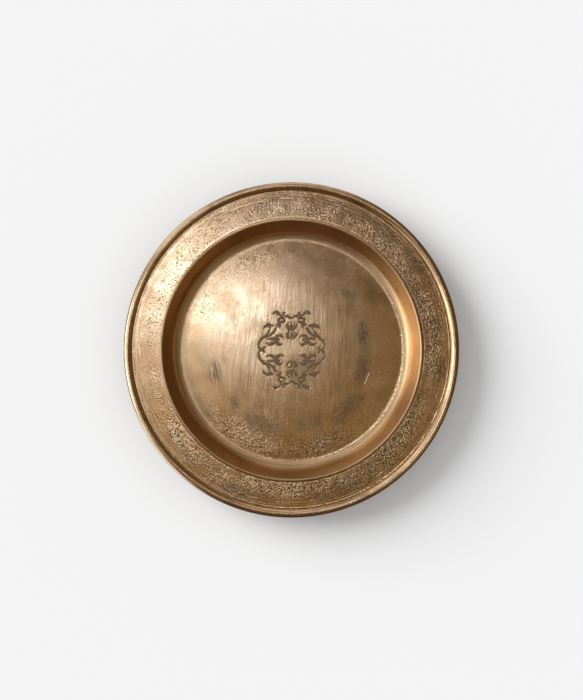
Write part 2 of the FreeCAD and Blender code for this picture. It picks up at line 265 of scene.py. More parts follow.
def rounded_line(corners):
    """Close points along a line of (radius, height, rounding) corners."""
    places = [np.array(corner[:2], float) for corner in corners]
    turns = [places[0]]
    for before, here, after, (_, _, rounding) in zip(places, places[1:], places[2:], corners[1:]):
        if not rounding:
            turns.append(here)
            continue
        back = (before - here) / np.linalg.norm(before - here)
        onward = (after - here) / np.linalg.norm(after - here)
        half = math.acos(float(back @ onward)) / 2
        middle = here + (back + onward) / np.linalg.norm(back + onward) * rounding / math.sin(half)
        start = here + back * rounding / math.tan(half) - middle
        end = here + onward * rounding / math.tan(half) - middle
        first = math.atan2(start[1], start[0])
        sweep = (math.atan2(end[1], end[0]) - first + math.pi) % (2 * math.pi) - math.pi
        for angle in first + sweep * np.linspace(0, 1, ARC_POINTS):
            turns.append(middle + rounding * np.array((math.cos(angle), math.sin(angle))))
    turns.append(places[-1])
    line = [turns[0][None]]
    for start, end in zip(turns, turns[1:]):
        count = max(1, math.ceil(np.linalg.norm(end - start) / FINENESS))
        line.append(start + (end - start) * np.linspace(0, 1, count + 1)[1:, None])
    return np.concatenate(line)


def stations(line, steps):
    """Points along a line, both ends kept, in steps that each hold up to a radius."""
    runs = np.hypot(*np.diff(line, axis=0).T)
    radius = (line[1:, 0] + line[:-1, 0]) / 2
    step = np.select([radius < limit for limit, _ in steps], [step for _, step in steps])
    travelled = np.concatenate([[0], np.cumsum(runs / step)])
    wanted = np.linspace(0, travelled[-1], max(1, round(travelled[-1])) + 1)
    return np.stack([np.interp(wanted, travelled, line[:, axis]) for axis in (0, 1)], axis=1)


def outward(line):
    """The direction square to a line at each of its points, to the left of its run."""
    run = np.gradient(line, axis=0)
    run /= np.hypot(*run.T)[:, None]
    return np.stack([-run[:, 1], run[:, 0]], axis=1)


def floor_height(radius):
    fall = (FLOOR_TOP - FLOOR_LOW) / (FLOOR_CORNER - FLOOR_FLAT) ** 2
    return FLOOR_TOP - fall * np.maximum(radius - FLOOR_FLAT, 0) ** 2


def fillet_start():
    """The radius where the floor runs into its fillet."""
    wall_angle = math.atan2(ARRIS_TOP - FLOOR_LOW, ARRIS - FLOOR_CORNER)
    return FLOOR_CORNER - FLOOR_FILLET * math.tan(wall_angle / 2)


def softened(line, width):
    """A line of close points whose bends inside the wall ease in and out over a width."""
    runs = np.hypot(*np.diff(line, axis=0).T)
    travelled = np.concatenate([[0], np.cumsum(runs)])
    even = np.arange(0, travelled[-1], FINENESS)
    places = np.stack([np.interp(even, travelled, line[:, axis]) for axis in (0, 1)], axis=1)
    count = round(width / FINENESS)
    padded = np.pad(places, ((count, count), (0, 0)), mode="edge")
    kernel = np.ones(2 * count + 1) / (2 * count + 1)
    averaged = np.stack([np.convolve(padded[:, axis], kernel, mode="valid") for axis in (0, 1)], axis=1)
    share = smooth_step(*EASE_END, places[:, 0]) * smooth_step(*EASE_START, places[:, 0])
    return places + (averaged - places) * share[:, None]


FLOOR_EDGE = fillet_start()
UPPER_SECTION = softened(rounded_line([
    (SECTION_START, floor_height(SECTION_START), 0),
    (FLOOR_CORNER, FLOOR_LOW, FLOOR_FILLET * 0.995),   # a little less, so that it starts outside FLOOR_EDGE
    (ARRIS, ARRIS_TOP, ARRIS_ROUNDING),
    (LIP_EDGE, FLANGE_TOP, 0),
]), EASE_WIDTH)


def floor_level(radius):
    """Height of the floor, with the start of its fillet."""
    section = np.interp(radius, *UPPER_SECTION.T)
    return np.where(radius < SECTION_START + 1 * MM, floor_height(radius), section)


def wire_reach(height):
    """How far the wire's surface is from the middle of the wire at a height, measured level."""
    return math.sqrt(WIRE_RADIUS ** 2 - (height - WIRE_CENTRE) ** 2)


# ---------------------------------------------------------------- meshes

SHADES = ("grain", "tarnish", "cut_nearness", "rough", "turned", "pitted")
ROUND = np.linspace(0, 2 * math.pi, SEGMENTS, endpoint=False)
CIRCLE = np.stack([np.cos(ROUND), np.sin(ROUND)], axis=1)
RING_EDGES = [(index, (index + 1) % SEGMENTS) for index in range(SEGMENTS)]


class Surface:
    """Vertices, faces and shades that grow piece by piece, and then make one Blender mesh."""

    def __init__(self):
        self.points = np.zeros((0, 3))
        self.faces = []
        self.crisp = []
        self.shades = {name: np.zeros(0) for name in SHADES}

    def add_points(self, points, shades=None):
        """Points with the shades given for them, 0 for the others. Returns the points' numbers."""
        first = len(self.points)
        self.points = np.concatenate([self.points, points])
        for name in self.shades:
            new = (shades or {}).get(name, np.zeros(len(points)))
            self.shades[name] = np.concatenate([self.shades[name], new])
        return first + np.arange(len(points))

    def add_faces(self, faces, crisp=False):
        """Faces as an array of vertex numbers. A crisp one keeps its own flat shading."""
        self.faces.extend(np.asarray(faces).tolist())
        self.crisp.extend([crisp] * len(faces))

    def add_bands(self, rings, crisp=False):
        """A band of quads from each ring to the next. It faces up if the rings grow outward."""
        for here, there in zip(rings, rings[1:]):
            self.add_faces(np.stack([here, there, np.roll(there, -1), np.roll(here, -1)], axis=1), crisp)

    def skin_normals(self):
        """The smooth normal of each vertex before scaling to unit length, crisp faces left out."""
        normals = np.zeros_like(self.points)
        for corners in (3, 4):
            chosen = [f for f, crisp in zip(self.faces, self.crisp) if len(f) == corners and not crisp]
            if not chosen:
                continue
            chosen = np.array(chosen)
            places = self.points[chosen]
            facing = np.cross(places[:, 2] - places[:, 0], places[:, -1] - places[:, 1])
            for corner in range(corners):
                np.add.at(normals, chosen[:, corner], facing)
        return normals


def ring_points(radius, height):
    return np.column_stack([CIRCLE * radius, np.full(SEGMENTS, height)])


def swept_rings(surface, line, skin):
    """Rings of vertices along a section line, lifted by a skin. Returns the rings' numbers."""
    rings = []
    for place, direction in zip(line, outward(line)):
        points = ring_points(*place)
        height, shades = skin(points)
        rings.append(surface.add_points(points + ring_points(*direction) * height[:, None], shades))
    return rings


def make_object(name, surface, normals):
    """A Blender object from a surface. Its smooth faces take the given vertex normals."""
    mesh = bpy.data.meshes.new(name)
    mesh.from_pydata(surface.points.tolist(), [], surface.faces)
    lengths = np.linalg.norm(normals, axis=1)
    normals = normals / np.where(lengths > 0, lengths, 1)[:, None]
    mesh.update()
    corner_faces = np.repeat(np.arange(len(surface.faces)), [len(face) for face in surface.faces])
    corner_points = np.concatenate([np.array(face) for face in surface.faces])
    flat = np.array([tuple(face.normal) for face in mesh.polygons])
    crisp = np.array(surface.crisp)[corner_faces]
    corner_normals = np.where(crisp[:, None], flat[corner_faces], normals[corner_points])
    mesh.polygons.foreach_set("use_smooth", [True] * len(surface.faces))
    mesh.normals_split_custom_set(corner_normals.tolist())
    for shade, values in surface.shades.items():
        layer = mesh.attributes.new(shade, "FLOAT", "POINT")
        layer.data.foreach_set("value", values.astype(np.float32))
    mesh.validate()
    piece = bpy.data.objects.new(name, mesh)
    bpy.context.scene.collection.objects.link(piece)
    return piece


# ---------------------------------------------------------------- the ornament's outlines

SAMPLES = 8                       # points along each edge of an outline
ROW_GAP = 0.866                   # from one row of a triangular grid to the next, as a share of its step
JITTER = 0.14


def outline_segments(node):
    """The edges of a filling's top face, as an array of pairs of (x, y)."""
    mesh = node.data
    top = max(vertex.co.z for vertex in mesh.vertices)
    keys = [(round(v.co.x / MM, 3), round(v.co.y / MM, 3)) if v.co.z > top - 0.01 * MM else None
            for v in mesh.vertices]
    seen = {}
    for face in mesh.polygons:
        corners = [keys[index] for index in face.vertices]
        if None in corners:
            continue
        for start, end in zip(corners, corners[1:] + corners[:1]):
            edge = (min(start, end), max(start, end))
            seen[edge] = seen.get(edge, 0) + 1
    return np.array([edge for edge, count in sorted(seen.items()) if count == 1]) * MM


def numbered_outlines(segments):
    """The outlines' corners, and their edges as corner numbers that follow on from a ring's."""
    corners = np.unique(segments.reshape(-1, 2).round(9), axis=0)
    number = {tuple(corner): SEGMENTS + index for index, corner in enumerate(corners.tolist())}
    edges = [tuple(number[tuple(np.round(end, 9).tolist())] for end in segment) for segment in segments]
    return corners, edges


def inside_outlines(points, segments):
    """Which points lie inside the outlines, by counting the edges to their right."""
    inside = np.zeros(len(points), bool)
    for (x0, y0), (x1, y1) in segments:
        if y0 == y1:
            continue
        level = (points[:, 1] > y0) != (points[:, 1] > y1)
        crossing = x0 + (points[:, 1] - y0) * (x1 - x0) / (y1 - y0)
        inside ^= level & (points[:, 0] < crossing)
    return inside


def grid_points(limit, step, seed):
    """Jittered points of a triangular grid inside a radius."""
    rows = math.ceil(limit / (step * ROW_GAP))
    columns = math.ceil(limit / step) + 1
    shift, row = np.meshgrid(np.arange(-columns, columns + 1), np.arange(-rows, rows + 1))
    points = np.stack([(shift + 0.5 * (row % 2)) * step, row * step * ROW_GAP], axis=-1).reshape(-1, 2)
    points += np.random.default_rng(seed).uniform(-JITTER, JITTER, points.shape) * step
    return points[np.hypot(*points.T) < limit]


def distances(points, targets):
    """How far each point is from the nearest target."""
    tree = KDTree(len(targets))
    for index, target in enumerate(targets):
        tree.insert((target[0], target[1], 0), index)
    tree.balance()
    return np.array([tree.find((point[0], point[1], 0))[2] for point in points])


def triangulated(points, edges):
    """A triangle mesh of flat points. Returns its points and its triangles."""
    inside_edges, closest = 1, 1e-7
    made = delaunay_2d_cdt([Vector(point) for point in points.tolist()], edges, [], inside_edges, closest)
    return np.array([tuple(point) for point in made[0]]), np.array(made[2])


def directed_edges(triangles):
    return [edge for corners in triangles.tolist() for edge in zip(corners, corners[1:] + corners[:1])]


def ring_numbers(flat, numbers):
    """The vertices on a disc's edge, in order round the plate."""
    at_edge = np.flatnonzero(np.hypot(*flat.T) > FLOOR_EDGE - 1e-7)
    turns = np.arctan2(flat[at_edge, 1], flat[at_edge, 0]) / (2 * math.pi)
    assert len(at_edge) == SEGMENTS, len(at_edge)
    return numbers[at_edge[np.argsort(np.round(turns * SEGMENTS) % SEGMENTS)]]


# ---------------------------------------------------------------- the zones of the dish

def add_recesses(surface, flat, triangles, cut):
    """The flat bottoms of the cuts, and the walls from them up to the floor's skin."""
    used = np.unique(triangles[cut])
    lowered = np.full(len(flat), -1)
    bottom = np.column_stack([flat[used], np.full(len(used), RECESS_FLOOR)])
    # The cuts' bottoms take full nearness, so the painted shade is darkest there.
    lowered[used] = surface.add_points(bottom, {"cut_nearness": np.ones(len(used))})
    surface.add_faces(lowered[triangles[cut]], crisp=True)
    kept = set(directed_edges(triangles[~cut]))
    walls = [(a, b) for a, b in directed_edges(triangles[cut]) if (b, a) in kept]
    surface.add_faces([(b, a, lowered[a], lowered[b]) for a, b in walls], crisp=True)


def add_underside(surface):
    """The floor's underside, relieved inside the ring it stands on. Returns its edge's numbers."""
    grid = grid_points(FLOOR_EDGE - 0.7 * UNDER_STEP, UNDER_STEP, 4)
    flat, triangles = triangulated(np.concatenate([CIRCLE * FLOOR_EDGE, grid]), RING_EDGES)
    level = FOOT_RELIEF * smooth_step(FOOT_INNER, FOOT_INNER - 1.0 * MM, np.hypot(*flat.T))
    points = np.column_stack([flat, level])
    height, shades = under_skin(points)
    points[:, 2] += np.maximum(RELIEF_LIFT - height, 0) * (level > 0)
    numbers = surface.add_points(points, shades)
    surface.add_faces(numbers[triangles[:, ::-1]])
    return ring_numbers(flat, numbers)


def make_floor():
    """The floor of the well with the ornament's recesses, and the underside below it."""
    nodes = [node for name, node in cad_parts.items() if name.startswith("inlay_")]
    segments = np.concatenate([outline_segments(node) for node in nodes])
    along = np.linspace(0, 1, SAMPLES)[:, None, None]
    samples = (segments[:, 0] + (segments[:, 1] - segments[:, 0]) * along).reshape(-1, 2)
    corners, edges = numbered_outlines(segments)

    grid = grid_points(FLOOR_EDGE - 0.6 * FLOOR_STEP, FLOOR_STEP, 3)
    central = np.hypot(*grid.T) < ORNAMENT_REACH
    clear = np.ones(len(grid), bool)
    clear[central] = distances(grid[central], samples) > 0.35 * FLOOR_STEP
    outlined = np.concatenate([CIRCLE * FLOOR_EDGE, corners, grid[clear]])
    flat, triangles = triangulated(outlined, edges + RING_EDGES)

    radius = np.hypot(*flat.T)
    central = radius < ORNAMENT_REACH
    # How near each point lies to the ornament's cuts: this sinks the skin at their edges and paints shade
    # beside them.
    cut_nearness = np.zeros(len(flat))
    cut_nearness[central] = np.exp(-np.minimum(distances(flat[central], samples), CUT_SHADE_REACH) / CUT_SHADE_FADE)
    points = np.column_stack([flat, floor_level(radius)])
    height, shades = upper_skin(points)
    shades["cut_nearness"] = cut_nearness
    points[:, 2] += height - CUT_ROUNDING * np.exp(-((1 - cut_nearness) / 0.12) ** 2) * central

    surface = Surface()
    upper = surface.add_points(points, shades)
    cut = inside_outlines(flat[triangles].mean(axis=1), segments)
    surface.add_faces(triangles[~cut])
    add_recesses(surface, flat, triangles, cut)
    top_ring, under_ring = ring_numbers(flat, upper), add_underside(surface)
    surface.add_bands([top_ring, under_ring], crisp=True)
    return surface, {"floor_top": top_ring, "floor_under": under_ring}


def make_wall():
    """The well's wall, from the floor's fillet to the lip outside the arris."""
    start = (FLOOR_EDGE, float(floor_level(FLOOR_EDGE)))
    upper_line = np.concatenate([[start], UPPER_SECTION[UPPER_SECTION[:, 0] > FLOOR_EDGE + FINENESS / 2]])
    under_line = rounded_line([
        (UNDER_SPLIT, FLANGE_UNDER, 0),
        (UNDER_CORNER, FLANGE_UNDER, FLANGE_FILLET),
        (FOOT_CORNER, 0, FOOT_FILLET),
        (FLOOR_EDGE, 0, 0),
    ])
    surface = Surface()
    top = swept_rings(surface, stations(upper_line, WALL_STEPS), upper_skin)
    under = swept_rings(surface, stations(under_line, UNDER_STEPS), under_skin)
    surface.add_bands(top)
    surface.add_bands(under)
    surface.add_bands([top[-1], under[0]], crisp=True)
    surface.add_bands([under[-1], top[0]], crisp=True)
    return surface, {"floor_top": top[0], "floor_under": under[-1],
                     "lip_top": top[-1], "lip_under": under[0]}


def make_flange():
    """The flat flange, whose edge is hidden in the wire."""
    contact = FLANGE_EDGE - wire_reach(FLANGE_TOP)
    upper_line = rounded_line([(LIP_EDGE, FLANGE_TOP, 0), (contact + 0.1 * MM, FLANGE_TOP, 0)])
    under_line = rounded_line([(FLANGE_EDGE, FLANGE_UNDER, 0), (UNDER_SPLIT, FLANGE_UNDER, 0)])
    surface = Surface()
    top = swept_rings(surface, stations(upper_line, FLANGE_STEPS), upper_skin)
    edge = surface.add_points(ring_points(FLANGE_EDGE, FLANGE_TOP))
    under = swept_rings(surface, stations(under_line, UNDER_STEPS), under_skin)
    surface.add_bands(top)
    surface.add_bands([top[-1], edge, under[0]], crisp=True)
    surface.add_bands(under)
    surface.add_bands([under[-1], top[0]], crisp=True)
    return surface, {"lip_top": top[0], "lip_under": under[-1]}


def share_normals(first, second):
    """Give two zones the same normals where they meet, so that no seam shows."""
    _, first_rings, first_normals = first
    _, second_rings, second_normals = second
    for ring in first_rings.keys() & second_rings.keys():
        here, there = first_rings[ring], second_rings[ring]
        total = first_normals[here] + second_normals[there]
        first_normals[here] = total
        second_normals[there] = total


def wire_skin(points):
    """The wire is drawn smooth: only a slight waver, and a few nicks from handling."""
    waver = 0.02 * MM * noise(points, 26 * MM, 81) + 0.006 * MM * noise(points, 6 * MM, 82)
    nicks = smooth_step(0.62, 0.95, noise(points, 2.2 * MM, 83))
    nicks *= smooth_step(0.0, 0.6, noise(points, 17 * MM, 84))
    tarnish = smooth_step(0.0, 1.0, noise(points, 15 * MM, 85) + 0.5 * noise(points, 5 * MM, 86))
    return waver - 0.05 * MM * nicks, {"tarnish": tarnish, "grain": -nicks}


def make_wire():
    """The half-round wire over the flange's edge."""
    start = math.atan2(FLANGE_TOP - WIRE_CENTRE, -wire_reach(FLANGE_TOP))
    end = math.atan2(FLANGE_UNDER - WIRE_CENTRE, wire_reach(FLANGE_UNDER))
    angles = np.linspace(start, end, 31)
    arc = np.stack([FLANGE_EDGE + WIRE_RADIUS * np.cos(angles),
                    WIRE_CENTRE + WIRE_RADIUS * np.sin(angles)], axis=1)
    surface = Surface()
    rings = swept_rings(surface, arc, wire_skin)
    seat = [surface.add_points(ring_points(FLANGE_EDGE, height)) for height in (FLANGE_UNDER, FLANGE_TOP)]
    surface.add_bands(rings)
    surface.add_bands([rings[-1], *seat, rings[0]], crisp=True)
    return surface


# ---------------------------------------------------------------- materials

class Shader:
    """A node material or world that is written as a chain of calls. Sockets pass as arguments."""

    def __init__(self, owner):
        owner.use_nodes = True
        self.tree = owner.node_tree
        self.tree.nodes.clear()

    def node(self, kind, settings=None, **inputs):
        made = self.tree.nodes.new("ShaderNode" + kind)
        for name, setting in (settings or {}).items():
            setattr(made, name, setting)
        for name, given in inputs.items():
            socket = made.inputs[int(name[1:]) if name[0] == "_" else name.replace("_", " ")]
            if isinstance(given, bpy.types.NodeSocket):
                self.tree.links.new(given, socket)
            else:
                socket.default_value = given
        return made

    def math(self, operation, first, second=0.0):
        return self.node("Math", {"operation": operation}, _0=first, _1=second).outputs[0]

    def add(self, first, second):
        return self.math("ADD", first, second)

    def times(self, first, second):
        return self.math("MULTIPLY", first, second)

    def vector(self, operation, first, second=(0, 0, 0)):
        return self.node("VectorMath", {"operation": operation}, _0=first, _1=second).outputs[0]

    def length(self, first):
        return self.node("VectorMath", {"operation": "LENGTH"}, _0=first).outputs["Value"]

    def ramp(self, value, low, high, to_low=0.0, to_high=1.0):
        """A value eased from one range to another."""
        return self.node("MapRange", {"interpolation_type": "SMOOTHSTEP"}, Value=value,
                         From_Min=low, From_Max=high, To_Min=to_low, To_Max=to_high).outputs[0]

    def mix(self, share, first, second):
        """A colour between two colours."""
        return self.node("Mix", {"data_type": "RGBA"}, _0=share, _6=first, _7=second).outputs[2]

    def noise(self, place, pitch, detail=2.0, roughness=0.5):
        """Noise between 0 and 1 with one bump to each pitch (in metres)."""
        return self.node("TexNoise", Vector=place, Scale=1 / pitch, Detail=detail,
                         Roughness=roughness).outputs[0]

    def shade(self, name):
        """One of the mesh's shades, from 0 to 1 (the grain's also goes below 0)."""
        return self.node("Attribute", {"attribute_name": name}).outputs["Fac"]

    def bump(self, height, depth, before=None):
        """Bumps as deep as depth (in metres) where the height goes from 0 to 1."""
        inputs = {"Height": height, "Distance": depth, "Strength": 1.0}
        if before:
            inputs["Normal"] = before
        return self.node("Bump", **inputs).outputs[0]

    def finish(self, surface):
        self.node("OutputMaterial", Surface=surface.outputs[0])


BRIGHT_BRASS = (0.83, 0.56, 0.31, 1)
WARM_BRASS = (0.70, 0.43, 0.21, 1)
RUBBED_BRASS = (0.94, 0.69, 0.41, 1)
TURNED_BRASS = (0.80, 0.53, 0.30, 1)
DRAWN_BRASS = (0.84, 0.58, 0.35, 1)
TARNISH = (0.19, 0.118, 0.055, 1)
OLIVE_TARNISH = (0.33, 0.25, 0.12, 1)
PIT = (0.05, 0.032, 0.018, 1)
FRESH_BRASS = (1.0, 0.88, 0.66, 1)
DARK_FILLING = (0.060, 0.043, 0.028, 1)
PALE_FILLING = (0.20, 0.15, 0.092, 1)

LINE_PITCH = 0.35 * MM            # of the fine lines that turning and drawing leave
BLOTCH_PITCH = 9 * MM
PIT_PITCH = 1.3 * MM
PIT_DEPTH = 0.04 * MM
BRUSH_FAN = 2.2                   # how the brush lines fan out (to a metre), lean, and run on
BRUSH_LEAN = -0.05
BRUSH_RUN = 0.035
STROKE_LEAN = 0.22
STROKE_RUN = 0.12
SCRATCH_BEND = 12.0               # to a metre

# Clusters of dark strokes on the floor: middle (mm), half width and half height (mm), strength.
STROKES = ((-46.9, -13.3, 5.0, 9.5, 0.72), (-35.0, -33.0, 4.5, 7.0, 0.40), (-41.0, -5.0, 3.0, 6.0, 0.35))
# One fresh scratch: middle (mm), half length and half width (mm), heading (degrees).
SCRATCH = (46.4, -17.3, 4.8, 0.25, 69.0)


def crumbled(shader, place):
    """Crumbs of the casting's skin, finer than the mesh holds, between about -0.5 and 0.5."""
    return shader.math("SUBTRACT", shader.ramp(shader.noise(place, 0.85 * MM, 2, 0.6), 0.3, 0.7), 0.5)


def specks_and_side_shade(shader, place):
    """Fine dark specks all over the cast skin, denser towards +X, the side away from the key light, as
    painted shade.
    """
    x_axis = shader.node("SeparateXYZ", _0=place).outputs[0]
    specks = shader.ramp(shader.noise(place, 0.9 * MM, 3, 0.7), 0.42, 0.66)
    cast = shader.ramp(shader.shade("turned"), 0.2, 1.0, 1.0, 0.15)
    # The ramp along x darkens the +X side, away from the key light: painted shade.
    share = shader.times(cast, shader.ramp(x_axis, -45 * MM, 40 * MM, 0.12, 0.38))
    return shader.times(specks, share)


def brass_colour(shader, place):
    """Worn brass: brighter and warmer patches, brown tarnish in the smudges and the hollows, and painted
    shade towards +X and beside the ornament's cuts.
    """
    patches = shader.ramp(shader.noise(place, 16 * MM, 3), 0.25, 0.75)
    colour = shader.mix(patches, BRIGHT_BRASS, WARM_BRASS)
    colour = shader.mix(shader.times(shader.shade("turned"), 0.85), colour, TURNED_BRASS)
    flecks = shader.ramp(shader.noise(place, 1.1 * MM, 3), 0.35, 0.7)
    tarnish = shader.times(shader.shade("tarnish"), shader.ramp(flecks, 0, 1, 0.55, 1.0))
    olive = shader.ramp(shader.noise(place, 22 * MM, 2), 0.45, 0.7, 0.0, 0.22)
    colour = shader.mix(olive, colour, OLIVE_TARNISH)
    colour = shader.mix(shader.times(tarnish, 0.95), colour, TARNISH)
    crumbs = shader.times(crumbled(shader, place), shader.ramp(shader.shade("rough"), 0.0, 0.8, 0.24, 1.2))
    relief = shader.add(shader.times(shader.shade("grain"), 0.9), crumbs)
    colour = shader.mix(shader.ramp(relief, 0.05, -0.50, 0.0, 0.88), colour, TARNISH)
    colour = shader.mix(shader.ramp(relief, 0.10, 0.55, 0.0, 0.8), colour, RUBBED_BRASS)
    # Specks, with painted shade growing towards +X.
    colour = shader.mix(specks_and_side_shade(shader, place), colour, TARNISH)
    # Painted shade: the floor darkens towards TARNISH beside the ornament's cuts.
    return shader.mix(shader.times(shader.shade("cut_nearness"), 0.14), colour, TARNISH)


def pits(shader, place):
    """Scattered small casting pits: 1 in a pit, 0 between them."""
    cells = shader.node("TexVoronoi", Vector=place, Scale=1 / PIT_PITCH)
    chosen = shader.ramp(cells.outputs["Color"], 0.27, 0.29)
    round_pit = shader.ramp(cells.outputs["Distance"], 0.33, 0.12)
    return shader.times(shader.times(chosen, round_pit), shader.shade("pitted"))


def ring_lines(shader, place):
    """Fine lines round the plate, as a turning tool or a drawing die leaves them, from 0 to 1."""
    x_axis, _, z_axis = shader.node("SeparateXYZ", _0=place).outputs
    radius = shader.length(shader.vector("MULTIPLY", place, (1, 1, 0)))
    turning = shader.node("CombineXYZ", X=radius, Y=shader.times(x_axis, 0.02), Z=z_axis).outputs[0]
    return shader.noise(turning, LINE_PITCH, 3, 0.6)


def scratched(shader, place):
    """1 on one fresh, slightly bent scratch across the floor, and 0 beside it."""
    middle_x, middle_y, half_length, half_width, heading = SCRATCH
    offset = shader.vector("SUBTRACT", place, (middle_x * MM, middle_y * MM, 0))
    headed = shader.node("VectorRotate", {"rotation_type": "Z_AXIS"}, Vector=offset,
                         Angle=-math.radians(heading)).outputs[0]
    along, across, _ = shader.node("SeparateXYZ", _0=headed).outputs
    bend = shader.times(shader.times(along, along), SCRATCH_BEND)
    beside = shader.math("ABSOLUTE", shader.add(across, bend))
    line = shader.ramp(beside, 1.6 * half_width * MM, 0.5 * half_width * MM)
    ends = shader.ramp(shader.math("ABSOLUTE", along), half_length * MM, 0.7 * half_length * MM)
    return shader.times(line, ends)


def brushed_floor(shader, place, colour, normal):
    """The brush lines on the middle of the floor, nearly along Y, with their dark strokes."""
    x_axis, y_axis, _ = shader.node("SeparateXYZ", _0=place).outputs
    fan = shader.times(shader.times(x_axis, y_axis), BRUSH_FAN)
    across = shader.add(shader.add(x_axis, fan), shader.times(y_axis, BRUSH_LEAN))
    lines = shader.node("CombineXYZ", X=across, Y=shader.times(y_axis, BRUSH_RUN)).outputs[0]
    streaks = shader.noise(lines, 0.55 * MM, 3, 0.65)
    broad = shader.noise(lines, 2.6 * MM, 3, 0.6)
    worn = shader.ramp(shader.length(place), 60 * MM, 32 * MM)
    normal = shader.bump(shader.times(streaks, worn), 0.0035 * MM, normal)
    dark = shader.add(shader.ramp(broad, 0.44, 0.66, 0.0, 0.16), shader.ramp(streaks, 0.42, 0.66, 0.0, 0.42))
    dark = shader.times(dark, worn)
    slanted = shader.node("CombineXYZ", X=shader.add(x_axis, shader.times(y_axis, STROKE_LEAN)),
                          Y=shader.times(y_axis, STROKE_RUN)).outputs[0]
    strokes = shader.ramp(shader.noise(slanted, 1.1 * MM, 2, 0.6), 0.42, 0.58)
    for middle_x, middle_y, half_width, half_height, strength in STROKES:
        offset = shader.vector("SUBTRACT", place, (middle_x * MM, middle_y * MM, 0))
        scaled = shader.vector("MULTIPLY", offset, (1 / (half_width * MM), 1 / (half_height * MM), 0))
        near = shader.ramp(shader.length(scaled), 1.25, 0.35, 0.0, strength)
        dark = shader.math("MAXIMUM", dark, shader.times(near, strokes))
    colour = shader.mix(dark, colour, TARNISH)
    return shader.mix(scratched(shader, place), colour, FRESH_BRASS), normal


def new_material(name):
    """A material, its shader, and the place (in metres) that its patterns follow."""
    material = bpy.data.materials.new(name)
    shader = Shader(material)
    return material, shader, shader.node("TexCoord").outputs["Object"]


def cast_brass(brushed):
    """The dish's brass. The floor is also brushed."""
    material, shader, place = new_material("cast_brass_brushed" if brushed else "cast_brass_skin")
    colour = brass_colour(shader, place)
    pitted = pits(shader, place)
    colour = shader.mix(shader.times(pitted, 0.85), colour, PIT)
    fine = shader.noise(place, 0.95 * MM, 3, 0.6)
    fine = shader.times(fine, shader.ramp(shader.shade("turned"), 0.2, 1.0, 1.0, 0.7))
    normal = shader.bump(fine, 0.0028 * MM)
    crumbs = shader.times(crumbled(shader, place), shader.ramp(shader.shade("rough"), 0.1, 0.9))
    normal = shader.bump(crumbs, CRUMB_DEPTH, normal)
    turning = shader.times(ring_lines(shader, place), shader.shade("turned"))
    normal = shader.bump(turning, 0.005 * MM, normal)
    if brushed:
        colour, normal = brushed_floor(shader, place, colour, normal)
    normal = shader.bump(pitted, -PIT_DEPTH, normal)
    blotches = shader.ramp(shader.noise(place, BLOTCH_PITCH, 4, 0.6), 0.3, 0.7, 0.12, 0.17)
    roughness = shader.add(blotches, shader.times(shader.shade("tarnish"), 0.12))
    roughness = shader.add(roughness, shader.times(shader.shade("turned"), 0.20))
    shader.finish(shader.node("BsdfPrincipled", Base_Color=colour, Metallic=1.0, Roughness=roughness,
                              Normal=normal))
    return material


def wire_brass():
    """The wire's brass, as the drawing die left it: fine lines round the plate and faint blotches."""
    material, shader, place = new_material("drawn_wire")
    blotches = shader.noise(place, BLOTCH_PITCH, 4, 0.6)
    colour = shader.mix(shader.ramp(blotches, 0.4, 0.65, 0.0, 0.5), DRAWN_BRASS, WARM_BRASS)
    colour = shader.mix(shader.times(shader.shade("tarnish"), 0.4), colour, TARNISH)
    roughness = shader.ramp(blotches, 0.3, 0.7, 0.15, 0.25)
    normal = shader.bump(ring_lines(shader, place), 0.008 * MM)
    shader.finish(shader.node("BsdfPrincipled", Base_Color=colour, Metallic=1.0, Roughness=roughness,
                              Normal=normal))
    return material


def dark_filling():
    """The ornament's filling: a dull brown-black, crumbled, with some brass rubbed bare through it."""
    material, shader, place = new_material("dark_filling")
    crumbs = shader.noise(place, 0.5 * MM, 4, 0.65)
    colour = shader.mix(shader.ramp(crumbs, 0.35, 0.7), DARK_FILLING, PALE_FILLING)
    normal = shader.bump(crumbs, 0.05 * MM)
    roughness = shader.ramp(crumbs, 0.3, 0.7, 0.5, 0.72)
    filling = shader.node("BsdfPrincipled", Base_Color=colour, Roughness=roughness, Specular_IOR_Level=0.25,
                          Normal=normal)
    bare = shader.node("BsdfPrincipled", Base_Color=WARM_BRASS, Metallic=1.0, Roughness=0.38, Normal=normal)
    worn = shader.ramp(shader.noise(place, 0.9 * MM, 3, 0.6), 0.48, 0.64, 0.0, 0.55)
    shader.finish(shader.node("MixShader", _0=worn, _1=filling.outputs[0], _2=bare.outputs[0]))
    return material


# ---------------------------------------------------------------- the plate

def build_plate():
    """The visible pieces of the dish and the wire, and the fillings' material."""
    zones = {"dish_floor": make_floor(), "dish_wall": make_wall(), "dish_flange": make_flange()}
    zones = {name: (surface, rings, surface.skin_normals()) for name, (surface, rings) in zones.items()}
    share_normals(zones["dish_floor"], zones["dish_wall"])
    share_normals(zones["dish_wall"], zones["dish_flange"])
    plain = cast_brass(brushed=False)
    skins = {"dish_floor": cast_brass(brushed=True), "dish_wall": plain, "dish_flange": plain}
    for name, (surface, _, normals) in zones.items():
        piece = make_object(name, surface, normals)
        piece.data.materials.append(skins[name])
        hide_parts("dish")
        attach(piece, "root")
    wire = make_wire()
    piece = make_object("rim_bead", wire, wire.skin_normals())
    piece.data.materials.append(wire_brass())
    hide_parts("rim_wire")
    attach(piece, "root")
    filling = dark_filling()
    for name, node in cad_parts.items():
        if name.startswith("inlay_"):
            node.data.materials[0] = filling


# ---------------------------------------------------------------- the studio

FLOOR_REACH = 12.0
LENS = 85.0
DISTANCE = 11.775 * LENS * MM     # from the wire's widest ring to the camera, to fit the frame
KEY_AZIMUTH = 153
KEY_ELEVATION = 26.0
KEY_SPREAD = 46                   # how wide the key light looks from the plate (degrees)


def direction(azimuth, zenith):
    """The unit vector at an azimuth from +X towards +Y and an angle from straight up (degrees)."""
    around, down = math.radians(azimuth), math.radians(zenith)
    return (math.cos(around) * math.sin(down), math.sin(around) * math.sin(down), math.cos(down))


